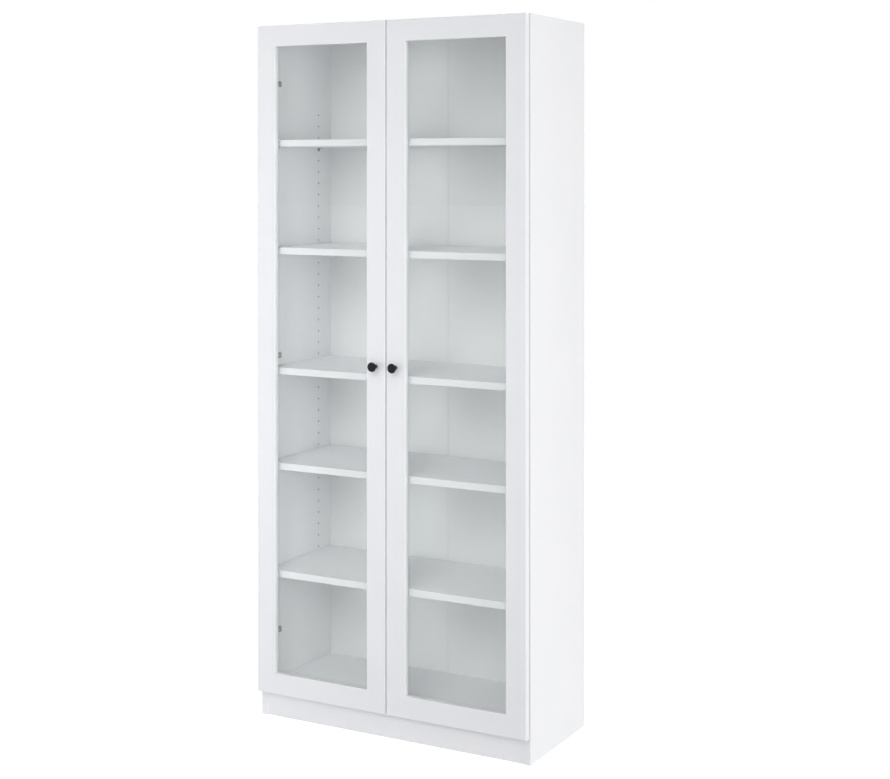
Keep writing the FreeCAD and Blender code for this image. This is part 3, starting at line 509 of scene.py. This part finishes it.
def planed_beech():
    # Beech, turned to dowels: pale pinkish brown with long grain and short dark flecks.
    made = new_material("planed_beech")
    place = add(made, "ShaderNodeTexCoord").outputs["Object"]
    with_grain = add(made, "ShaderNodeMapping", {"Vector": place, "Scale": (0.08, 1, 1)})
    grain = add(made, "ShaderNodeTexNoise",
                {"Vector": with_grain.outputs["Vector"], "Scale": repeats(1.0), "Detail": 4.0})
    wood = add(made, "ShaderNodeMix",
               {"Factor": grain.outputs["Fac"], "A": linear("#A87E56"), "B": linear("#E6C8A4")},
               data_type="RGBA")
    bump = add(made, "ShaderNodeBump",
               {"Height": grain.outputs["Fac"], "Strength": 0.3, "Distance": mm(0.1)})
    gloss = add(made, "ShaderNodeMapRange", {"Value": grain.outputs["Fac"], "To Min": 0.5, "To Max": 0.65})
    shader = add(made, "ShaderNodeBsdfPrincipled",
                 {"Base Color": wood.outputs["Result"], "Roughness": gloss.outputs["Result"],
                  "IOR": 1.5, "Normal": bump.outputs["Normal"]})
    add(made, "ShaderNodeOutputMaterial", {"Surface": shader.outputs[0]})
    return made


def white_extruded_vinyl():
    # Extruded vinyl: white, smoother and a little glossier than the boards, with faint lines from the die.
    made = new_material("white_extruded_vinyl")
    place = add(made, "ShaderNodeTexCoord").outputs["Object"]
    drawn = add(made, "ShaderNodeMapping", {"Vector": place, "Scale": (1, 1, 0.01)})
    lines = add(made, "ShaderNodeTexNoise",
                {"Vector": drawn.outputs["Vector"], "Scale": repeats(0.8), "Detail": 2.0})
    white = add(made, "ShaderNodeMix",
                {"Factor": lines.outputs["Fac"], "A": linear("#ECEEEE"), "B": linear("#F3F4F4")},
                data_type="RGBA")
    bump = add(made, "ShaderNodeBump",
               {"Height": lines.outputs["Fac"], "Strength": 0.1, "Distance": mm(0.02)})
    gloss = add(made, "ShaderNodeMapRange", {"Value": lines.outputs["Fac"], "To Min": 0.28, "To Max": 0.38})
    shader = add(made, "ShaderNodeBsdfPrincipled",
                 {"Base Color": white.outputs["Result"], "Roughness": gloss.outputs["Result"],
                  "IOR": 1.53, "Normal": bump.outputs["Normal"]})
    add(made, "ShaderNodeOutputMaterial", {"Surface": shader.outputs[0]})
    return made


def grey_moulded_nylon():
    # Moulded nylon: mid grey with a fine spark-eroded grain, waxy rather than shiny.
    made = new_material("grey_moulded_nylon")
    place = add(made, "ShaderNodeTexCoord").outputs["Object"]
    grain = add(made, "ShaderNodeTexNoise", {"Vector": place, "Scale": repeats(0.4), "Detail": 2.0})
    grey = add(made, "ShaderNodeMix",
               {"Factor": grain.outputs["Fac"], "A": linear("#737578"), "B": linear("#898B8D")},
               data_type="RGBA")
    bump = add(made, "ShaderNodeBump",
               {"Height": grain.outputs["Fac"], "Strength": 0.2, "Distance": mm(0.04)})
    gloss = add(made, "ShaderNodeMapRange", {"Value": grain.outputs["Fac"], "To Min": 0.42, "To Max": 0.55})
    shader = add(made, "ShaderNodeBsdfPrincipled",
                 {"Base Color": grey.outputs["Result"], "Roughness": gloss.outputs["Result"],
                  "IOR": 1.53, "Normal": bump.outputs["Normal"]})
    add(made, "ShaderNodeOutputMaterial", {"Surface": shader.outputs[0]})
    return made


def clear_soft_polyurethane():
    # Cast polyurethane dots: clear, soft, slightly milky, with a blurred view through them.
    made = new_material("clear_soft_polyurethane")
    place = add(made, "ShaderNodeTexCoord").outputs["Object"]
    cloud = add(made, "ShaderNodeTexNoise", {"Vector": place, "Scale": repeats(1.5), "Detail": 2.0})
    tint = add(made, "ShaderNodeMix",
               {"Factor": cloud.outputs["Fac"], "A": linear("#E2E6E6"), "B": linear("#F4F6F6")},
               data_type="RGBA")
    haze = add(made, "ShaderNodeMapRange", {"Value": cloud.outputs["Fac"], "To Min": 0.2, "To Max": 0.3})
    shader = add(made, "ShaderNodeBsdfPrincipled",
                 {"Base Color": tint.outputs["Result"], "Roughness": haze.outputs["Result"],
                  "IOR": 1.48, "Transmission Weight": 0.85})
    add(made, "ShaderNodeOutputMaterial", {"Surface": shader.outputs[0]})
    return made


FINISHES = {
    "white_board": foil_faced_chipboard(),
    "back_board": printed_hardboard(),
    "white_lacquer": lacquered_fibreboard(),
    "clear_glass": clear_float_glass(),
    "black_lacquer": black_powder_coat(),
    "nickel_steel": nickel_plated_steel(),
    "zinc_steel": zinc_plated_steel(),
    "cast_zinc": die_cast_zinc(),
    "beech": planed_beech(),
    "white_plastic": white_extruded_vinyl(),
    "grey_plastic": grey_moulded_nylon(),
    "clear_rubber": clear_soft_polyurethane(),
}


# ------------------------------------------------------------------ putting pieces in service
def fit(piece, body, node, slot):
    """Gives a finished piece its material and the body that it rides on, and hides the CAD node it stands
    for.
    """
    piece.data.materials.clear()
    piece.data.materials.append(FINISHES[slot])
    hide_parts(node)
    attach(piece, body)


def fit_pair(piece, node, slot, on_door):
    """The left piece and its mirror image on the right."""
    other = mirror_copy(piece, "right_" + node + "_piece")
    fit(piece, "left_door" if on_door else "carcass", "left_" + node, slot)
    fit(other, "right_door" if on_door else "carcass", "right_" + node, slot)


# ------------------------------------------------------------------ knobs
KNOB_NECK = 5.4
KNOB_WAIST = 4.6
KNOB_WAIST_AT = 2.0
KNOB_HEAD = 12.4
KNOB_HEAD_AT = 20.6
KNOB_RIM = 2.6
RIM_FROM = -60              # where the rim starts and how far it turns, in degrees round its middle
RIM_TURN = 150
KNOB_LENGTH = 25.0
KNOB_TIP = 0.02             # the face closes at this radius
CURVE_STEPS = 8
RIM_STEPS = 10


def knob_profile():
    """Foot, waist, cone, rounded rim and slightly domed face, as (radius, distance from the door)."""
    profile = []
    for step in range(CURVE_STEPS + 1):
        share = step / CURVE_STEPS * 2 - 1
        profile.append((KNOB_WAIST + (KNOB_NECK - KNOB_WAIST) * share ** 2, KNOB_WAIST_AT * (1 + share)))
    crown_radius = KNOB_HEAD - KNOB_RIM
    for step in range(RIM_STEPS + 1):
        angle = math.radians(RIM_FROM + RIM_TURN * step / RIM_STEPS)
        radius = crown_radius + KNOB_RIM * math.cos(angle)
        profile.append((radius, KNOB_HEAD_AT + KNOB_RIM * math.sin(angle)))
    crown_at = KNOB_HEAD_AT + KNOB_RIM
    for step in range(1, CURVE_STEPS + 1):
        share = step / CURVE_STEPS
        radius = max(crown_radius * (1 - share), KNOB_TIP)
        profile.append((radius, crown_at + (KNOB_LENGTH - crown_at) * (1 - (1 - share) ** 2)))
    return profile


knob = turned("left_knob_piece", at(MEETING_STILE_MIDDLE, DOOR_FRONT, KNOB_HEIGHT), -Y, knob_profile(), 72)
smooth(knob, 50)
fit_pair(knob, "knob", "black_lacquer", True)


# ------------------------------------------------------------------ glass and its beads
GLASS_OVERLAP = 8.5
GLASS_FRONT = -150.0
GLASS_REAR = -146.0

pane = block("left_glass_piece",
             at(OPENING_X[0] - GLASS_OVERLAP, GLASS_FRONT, OPENING_Z[0] - GLASS_OVERLAP),
             at(OPENING_X[1] + GLASS_OVERLAP, GLASS_REAR, OPENING_Z[1] + GLASS_OVERLAP))
ease(pane, 0.5)
fit_pair(pane, "glass", "clear_glass", True)

beads = block("left_glazing_beads_piece",
              at(OPENING_X[0] - REBATE, GLASS_REAR, OPENING_Z[0] - REBATE),
              at(OPENING_X[1] + REBATE, DOOR_REAR, OPENING_Z[1] + REBATE))
choose(beads, "FACE", lambda middle, normal: abs(normal.y) > FLAT)
bpy.ops.mesh.inset(thickness=mm(REBATE), use_even_offset=True)
bpy.ops.mesh.bridge_edge_loops()
leave()
face_outwards(beads)


def inner_rear_edge(middle, direction):
    on_side = close(middle.x, OPENING_X[0]) or close(middle.x, OPENING_X[1])
    on_end = close(middle.z, OPENING_Z[0]) or close(middle.z, OPENING_Z[1])
    return close(middle.y, DOOR_REAR) and (on_side or on_end)


round_edges(beads, inner_rear_edge, 1.4, 3)
smooth(beads)
fit_pair(beads, "glazing_beads", "white_plastic", True)


# ------------------------------------------------------------------ screws
CROSS_WIDTH = 0.22          # of its length
CROSS_TAPER = 0.55          # its bottom, as a share of its mouth


def cross_recess(screw, top, axis, reach, depth):
    """The cross that the driver fits: two tapered slots."""
    side_way = Z if abs(axis.z) < FLAT else X
    other_way = axis.cross(side_way)
    for long_way, short_way in ((side_way, other_way), (other_way, side_way)):
        half = long_way * mm(reach) + short_way * mm(reach * CROSS_WIDTH)
        size = Vector([abs(part) for part in half])
        bottom = top - axis * mm(depth)
        clear = top + axis * mm(depth)
        low = Vector([min(pair) for pair in zip(bottom, clear)])
        high = Vector([max(pair) for pair in zip(bottom, clear)])
        slot = block("slot", low - size, high + size)
        choose(slot, "FACE", facing(-axis))
        bpy.ops.transform.resize(value=(CROSS_TAPER,) * 3, center_override=bottom)
        leave()
        cut_out(screw, slot)


def pan_head_screw(name, under_head, axis, shank_radius, shank_length, head_radius, head_thick):
    """A screw with a pointed end and a domed head. axis points out of the head."""
    # the point, the shank, the head's straight rim and its dome
    profile = [(shank_radius * 0.3, -shank_length), (shank_radius, -shank_length + shank_radius)]
    profile += [(shank_radius, 0.0), (head_radius, 0.0), (head_radius, head_thick * 0.35)]
    profile += [(head_radius * 0.93, head_thick * 0.7), (head_radius * 0.72, head_thick)]
    screw = turned(name, under_head, axis, profile, 32)
    cross_recess(screw, under_head + axis * mm(head_thick), axis, head_radius * 0.5, head_thick * 0.75)
    smooth(screw, 40)
    return screw


knob_screw = pan_head_screw("left_knob_screw_piece", at(MEETING_STILE_MIDDLE, DOOR_REAR, KNOB_HEIGHT), Y,
                            shank_radius=2.0, shank_length=31.0, head_radius=4.0, head_thick=2.2)
fit_pair(knob_screw, "knob_screw", "zinc_steel", True)

CUP_MIDDLE_X = -378.0
WING_X = CUP_MIDDLE_X + 9.5
FLANGE_REAR = DOOR_REAR + 1.0
CUP_SCREW_RISE = 24.0       # above and below the hinge's middle
cup_screw = pan_head_screw("cup_screw", at(WING_X, FLANGE_REAR, 0), Y,
                           shank_radius=1.75, shank_length=13.0, head_radius=3.4, head_thick=1.2)
cup_screw_places = [Z * mm(height + side * CUP_SCREW_RISE) for height in HINGE_HEIGHTS for side in (-1, 1)]
cup_screws = copies("left_cup_screws_piece", cup_screw, cup_screw_places)
fit_pair(cup_screws, "cup_screws", "zinc_steel", True)

ARM_TOP = -INNER + 10.4
ARM_LENGTH = 53.0
ARM_SCREWS_AT = (25.0, 43.0)
arm_screw = pan_head_screw("arm_screw", at(ARM_TOP, FRONT, 0), X,
                           shank_radius=2.0, shank_length=8.9, head_radius=3.6, head_thick=1.6)
arm_screw_places = [Z * mm(height) + Y * mm(distance)
                    for height in HINGE_HEIGHTS for distance in ARM_SCREWS_AT]
arm_screws = copies("left_arm_screws_piece", arm_screw, arm_screw_places)
fit_pair(arm_screws, "arm_screws", "zinc_steel", False)

PLATE_TOP = -INNER + 2.5
PLATE_SCREW_RISE = 16.0
plate_screw_top = at(PLATE_TOP, HOLE_ROWS[0], 0)
plate_screw = turned("plate_screw", plate_screw_top, X,
                     [(1.0, -13.5), (2.45, -11.5), (2.45, -1.5), (4.0, -0.4), (4.0, 0.0)], 32)
cross_recess(plate_screw, plate_screw_top, X, reach=2.1, depth=1.1)
smooth(plate_screw, 40)
plate_screw_places = [Z * mm(height + side * PLATE_SCREW_RISE)
                      for height in HINGE_HEIGHTS for side in (-1, 1)]
plate_screws = copies("left_plate_screws_piece", plate_screw, plate_screw_places)
fit_pair(plate_screws, "plate_screws", "zinc_steel", False)


# ------------------------------------------------------------------ hinge cups
CUP_DEPTH = 13.0
CUP_FLOOR = DOOR_REAR - CUP_DEPTH
WING_HALF_WIDTH = 7.0
WING_HALF_LENGTH = 29.0

# up the outer wall, over the rim and down inside
cup_profile = [(17.1, 0.0), (17.5, 0.4), (17.5, CUP_DEPTH), (18.1, CUP_DEPTH), (18.1, 13.7), (17.8, 14.0),
               (16.8, 14.0), (16.5, 13.7), (16.5, 1.6), (15.7, 0.8)]
cup = turned("cup", at(CUP_MIDDLE_X, CUP_FLOOR, 0), Y, cup_profile, 64)
wings = block("wings", at(WING_X - WING_HALF_WIDTH, DOOR_REAR, -WING_HALF_LENGTH),
              at(WING_X + WING_HALF_WIDTH, FLANGE_REAR, WING_HALF_LENGTH))
round_edges(wings, along(Y), 4.0, 6)
ease(wings, 0.25)
mouth = turned("mouth", at(CUP_MIDDLE_X, CUP_FLOOR, 0), Y, [(17.0, 10.0), (17.0, 16.0)], 64)
cut_out(wings, mouth)
weld(cup, wings)
smooth(cup, 35)
hinge_cups = copies("left_hinge_cups_piece", cup, [Z * mm(height) for height in HINGE_HEIGHTS])
fit_pair(hinge_cups, "hinge_cups", "nickel_steel", True)

# ------------------------------------------------------------------ hinge arms
PIVOT_X = -390.5
PIVOT_Y = -152.9
NECK_X = -OUTER + 22.4
SHOULDER_Y = FRONT + 8.0
ARM_END_Y = FRONT + ARM_LENGTH
ARM_LOW = -INNER + 3.0
CHANNEL_HALF = 7.5
CHANNEL_WALL = 1.5
NECK_HALF = 6.0
NECK_THICK = 2.0
NECK_LAP = 4.0              # how far the neck reaches into the channel
EYE = 2.4

channel = block("channel", at(ARM_LOW, SHOULDER_Y, -CHANNEL_HALF), at(ARM_TOP, ARM_END_Y, CHANNEL_HALF))
choose(channel, "FACE", lambda middle, normal: normal.x < -FLAT or abs(normal.y) > FLAT)
bpy.ops.mesh.delete(type="FACE")
leave()
round_edges(channel, lambda middle, way: close(middle.x, ARM_TOP) and abs(way.y) > FLAT, 1.2, 3)
finish_with(channel, "SOLIDIFY", thickness=mm(CHANNEL_WALL), offset=-1.0)
face_outwards(channel)


def neck_end(middle, normal):
    return normal.y > FLAT and middle.x > mm(NECK_X - NECK_THICK / 2)


neck = block("neck", at(PIVOT_X, PIVOT_Y - NECK_THICK / 2, -NECK_HALF),
             at(NECK_X - NECK_THICK / 2, PIVOT_Y + NECK_THICK / 2, NECK_HALF))
extrude(neck, facing(X), X * mm(NECK_THICK))
extrude(neck, neck_end, at(0, FRONT - PIVOT_Y - NECK_THICK / 2, 0), at(0, NECK_THICK, 0),
        at(ARM_TOP - NECK_X - NECK_THICK / 2, SHOULDER_Y - FRONT - NECK_THICK, 0), at(0, NECK_LAP, 0))
round_edges(neck, lambda middle, way: abs(way.z) > FLAT and middle.x > mm(NECK_X - NECK_THICK), 0.5, 3)
eye = turned("eye", at(PIVOT_X, PIVOT_Y, -NECK_HALF), Z,
             [(EYE - 0.2, 0), (EYE, 0.2), (EYE, 2 * NECK_HALF - 0.2), (EYE - 0.2, 2 * NECK_HALF)], 32)
arm = weld(neck, eye, channel)
smooth(arm, 35)
hinge_arms = copies("left_hinge_arms_piece", arm, [Z * mm(height) for height in HINGE_HEIGHTS])
fit_pair(hinge_arms, "hinge_arms", "nickel_steel", False)

# ------------------------------------------------------------------ mounting plates
FOOT_HALF_WIDTH = 10.0
FOOT_HALF_LENGTH = 22.0
RIDGE_SPAN = (FRONT + 18, FRONT + 48)
RIDGE_HALF = 5.5
RIDGE_TOP = ARM_TOP - CHANNEL_WALL

foot = block("foot", at(-INNER, HOLE_ROWS[0] - FOOT_HALF_WIDTH, -FOOT_HALF_LENGTH),
             at(PLATE_TOP, HOLE_ROWS[0] + FOOT_HALF_WIDTH, FOOT_HALF_LENGTH))
round_edges(foot, along(X), 4.0, 6)
ease(foot, 0.4)
ridge = block("ridge", at(-INNER, RIDGE_SPAN[0], -RIDGE_HALF), at(RIDGE_TOP, RIDGE_SPAN[1], RIDGE_HALF))
round_edges(ridge, lambda middle, way: close(middle.x, RIDGE_TOP), 0.8, 3)
plate = weld(foot, ridge)
smooth(plate, 35)
hinge_plates = copies("left_hinge_plates_piece", plate, [Z * mm(height) for height in HINGE_HEIGHTS])
fit_pair(hinge_plates, "hinge_plates", "nickel_steel", False)

# ------------------------------------------------------------------ bumpers on the doors
bumper = turned("bumper", at(MEETING_STILE_MIDDLE, DOOR_REAR, 0), Y,
                [(4.0, 0.0), (4.0, 1.0), (3.85, 1.7), (3.4, 2.3), (2.6, 2.65), (1.2, 2.78), (0.05, 2.8)], 40)
smooth(bumper, 50)
bumper_places = [Z * mm(BOTTOM_UNDERSIDE + BOARD / 2), Z * mm(HEIGHT - BOARD / 2)]
bumpers = copies("left_bumpers_piece", bumper, bumper_places)
fit_pair(bumpers, "bumpers", "clear_rubber", True)

# ------------------------------------------------------------------ shelf supports
SUPPORT_HALF = 6.0
SUPPORT_FACE = -INNER + 1.5
LEDGE_UNDERSIDE = 2.5       # above the pin's middle
LEDGE_THICK = 1.5
LEDGE_REACH = 11.5

support = block("support", at(-INNER, -SUPPORT_HALF, -SUPPORT_HALF),
                at(SUPPORT_FACE, SUPPORT_HALF, LEDGE_UNDERSIDE))
extrude(support, facing(Z), Z * mm(LEDGE_THICK))
extrude(support, lambda middle, normal: normal.x > FLAT and middle.z > mm(LEDGE_UNDERSIDE),
        X * mm(LEDGE_REACH))
round_edges(support, lambda middle, way: abs(way.z) > FLAT and middle.x > mm(SUPPORT_FACE + 2), 3.0, 6)
round_edges(support, lambda middle, way: abs(way.x) > FLAT and middle.z < mm(1 - SUPPORT_HALF), 2.5, 6)
ease(support, 0.3)
pin = turned("pin", at(-INNER + 0.5, 0, 0), -X, [(2.45, 0.0), (2.45, 7.7), (2.3, 8.2), (1.8, 8.5)], 28)
weld(support, pin)
smooth(support, 35)
support_places = [Y * mm(row) + Z * mm(hole) for hole in SHELF_HOLES for row in HOLE_ROWS]
left_supports = copies("left_supports", support, support_places)
right_supports = mirror_copy(left_supports, "right_supports")
supports = joined("shelf_supports_piece", [left_supports, right_supports])
fit(supports, "carcass", "shelf_supports", "nickel_steel")

# ------------------------------------------------------------------ glides under the sides
GLIDE_SETBACK = 60.0
glide = turned("glide", at(-INNER - BOARD / 2, 0, 0), Z,
               [(5.6, 0.0), (6.9, 0.3), (7.5, 1.0), (7.5, GLIDE_HEIGHT), (1.5, GLIDE_HEIGHT), (1.5, 16.0),
                (0.2, 18.0)], 40)
smooth(glide, 50)
glide_places = [Y * mm(FRONT + GLIDE_SETBACK), Y * mm(REAR - GLIDE_SETBACK)]
left_glides = copies("left_glides", glide, glide_places)
right_glides = mirror_copy(left_glides, "right_glides")
glides = joined("glides_piece", [left_glides, right_glides])
fit(glides, "carcass", "glides", "grey_plastic")

# ------------------------------------------------------------------ CAD nodes that stay, with their materials
slot_of = {part["node"]: part["material_slot"] for part in frame["record"]["subparts"]}
for node_name, node in frame["nodes"].items():
    node.data.materials.clear()
    node.data.materials.append(FINISHES[slot_of[node_name]])

# ------------------------------------------------------------------ floor and background
SKY_LIGHT = 0.2             # what the surroundings give in light
WHITE = 1.0                 # what they show to the eye, in mirrors and through glass
PAPER_SHARE = 0.5           # how much of the floor's own light and shade shows
PAPER_GLOW = 1.84
FLOOR_RADIUS = 60


def on_the_way_to_the_eye(owner):
    """Says whether a ray is one that the eye follows: straight, off a gloss or through glass."""
    path = add(owner, "ShaderNodeLightPath")
    seen = add(owner, "ShaderNodeMath",
               {0: path.outputs["Is Camera Ray"], 1: path.outputs["Is Glossy Ray"]}, operation="MAXIMUM")
    seen_or_through = add(owner, "ShaderNodeMath",
                          {0: seen.outputs[0], 1: path.outputs["Is Transmission Ray"]}, operation="MAXIMUM")
    return seen_or_through.outputs[0]


def studio_floor():
    # Matt white studio paper: it bounces soft light up. To the eye it is plain white, with only a soft
    # shadow at the foot of what stands on it.
    made = new_material("studio_floor")
    place = add(made, "ShaderNodeTexCoord").outputs["Object"]
    # clumps of fibres, about 6 mm across
    fibres = add(made, "ShaderNodeTexNoise", {"Vector": place, "Scale": repeats(6)})
    paper = add(made, "ShaderNodeMix",
                {"Factor": fibres.outputs["Fac"], "A": linear("#E9E9E9"), "B": linear("#EDEDED")},
                data_type="RGBA")
    dull = add(made, "ShaderNodeBsdfDiffuse", {"Color": paper.outputs["Result"]})
    bright = add(made, "ShaderNodeEmission", {"Color": (1, 1, 1, 1), "Strength": PAPER_GLOW})
    share = add(made, "ShaderNodeMath", {0: on_the_way_to_the_eye(made), 1: 1 - PAPER_SHARE},
                operation="MULTIPLY")
    both = add(made, "ShaderNodeMixShader",
               {0: share.outputs[0], 1: dull.outputs[0], 2: bright.outputs[0]})
    add(made, "ShaderNodeOutputMaterial", {"Surface": both.outputs[0]})
    return made


bpy.ops.object.select_all(action="DESELECT")
bpy.ops.mesh.primitive_circle_add(vertices=96, radius=FLOOR_RADIUS, fill_type="NGON", location=(0, 0, 0))
floor = named("floor")
floor.data.materials.append(studio_floor())

world = bpy.data.worlds.new("studio")
bpy.context.scene.world = world
world.use_nodes = True
world.node_tree.nodes.clear()
strength = add(world, "ShaderNodeMapRange",
               {"Value": on_the_way_to_the_eye(world), "To Min": SKY_LIGHT, "To Max": WHITE})
sky = add(world, "ShaderNodeBackground", {"Color": (1, 1, 1, 1), "Strength": strength.outputs["Result"]})
add(world, "ShaderNodeOutputWorld", {"Surface": sky.outputs[0]})


# ------------------------------------------------------------------ lamps and camera
def softbox(name, place, target, width, height, power, spread=180):
    """A soft lamp. A spread below 180 degrees is a grid in front of it, which narrows its beam."""
    data = bpy.data.lights.new(name, "AREA")
    data.shape = "RECTANGLE"
    data.size = width
    data.size_y = height
    data.energy = power
    data.spread = math.radians(spread)
    lamp = bpy.data.objects.new(name, data)
    bpy.context.scene.collection.objects.link(lamp)
    lamp.location = place
    lamp.rotation_euler = (Vector(target) - Vector(place)).to_track_quat("-Z", "Y").to_euler()
    lamp.visible_glossy = False
    lamp.visible_transmission = False


# The first four grade the doors from left to right. The others light the inside, the right side and
# the rear. Places are in metres, powers in watts, spreads in degrees.
softbox("left", (-2.4, -2.0, 1.1), (-0.9, -0.16, 1.0), 1.4, 2.4, 2.3, spread=60)
softbox("front left, wide", (-1.3, -3.2, 1.1), (-0.7, -0.16, 1.0), 1.6, 2.4, 1.4, spread=50)
softbox("front left, narrow", (-0.8, -3.2, 1.1), (-0.9, -0.16, 1.0), 1.2, 2.6, 2.7, spread=40)
softbox("high front", (0.6, -3.4, 2.8), (0, -0.16, 0.8), 1.6, 1.6, 5.1, spread=60)
softbox("above", (0, -2.6, 4.2), (0, 0, 0.9), 3.0, 1.6, 19)
softbox("front right", (2.6, -3.6, 1.3), (0, -0.16, 0.95), 2.0, 2.0, 45)
softbox("right", (4.2, -0.75, 1.6), (0.4, -0.16, 0.9), 1.6, 2.6, 75)
softbox("behind", (-2.6, 3.6, 1.8), (0, 0.19, 1.1), 2.0, 2.4, 42, spread=90)

# The camera is level and its lens is shifted down, so that uprights stay parallel.
CAMERA_PLACE = (2.1116, -3.7235, 1.4668)
HEADING = 28.564            # degrees to the left of straight ahead
LENS = 65.34
FILM_WIDTH = 36
LENS_SHIFT = -0.2476        # of the film's width

camera_data = bpy.data.cameras.new("camera")
camera_data.lens = LENS
camera_data.sensor_width = FILM_WIDTH
camera_data.shift_y = LENS_SHIFT
camera = bpy.data.objects.new("camera", camera_data)
camera.location = CAMERA_PLACE
camera.rotation_euler = (math.radians(90), 0, math.radians(HEADING))
bpy.context.scene.collection.objects.link(camera)
bpy.context.scene.camera = camera

bpy.context.scene.view_settings.view_transform = "Standard"
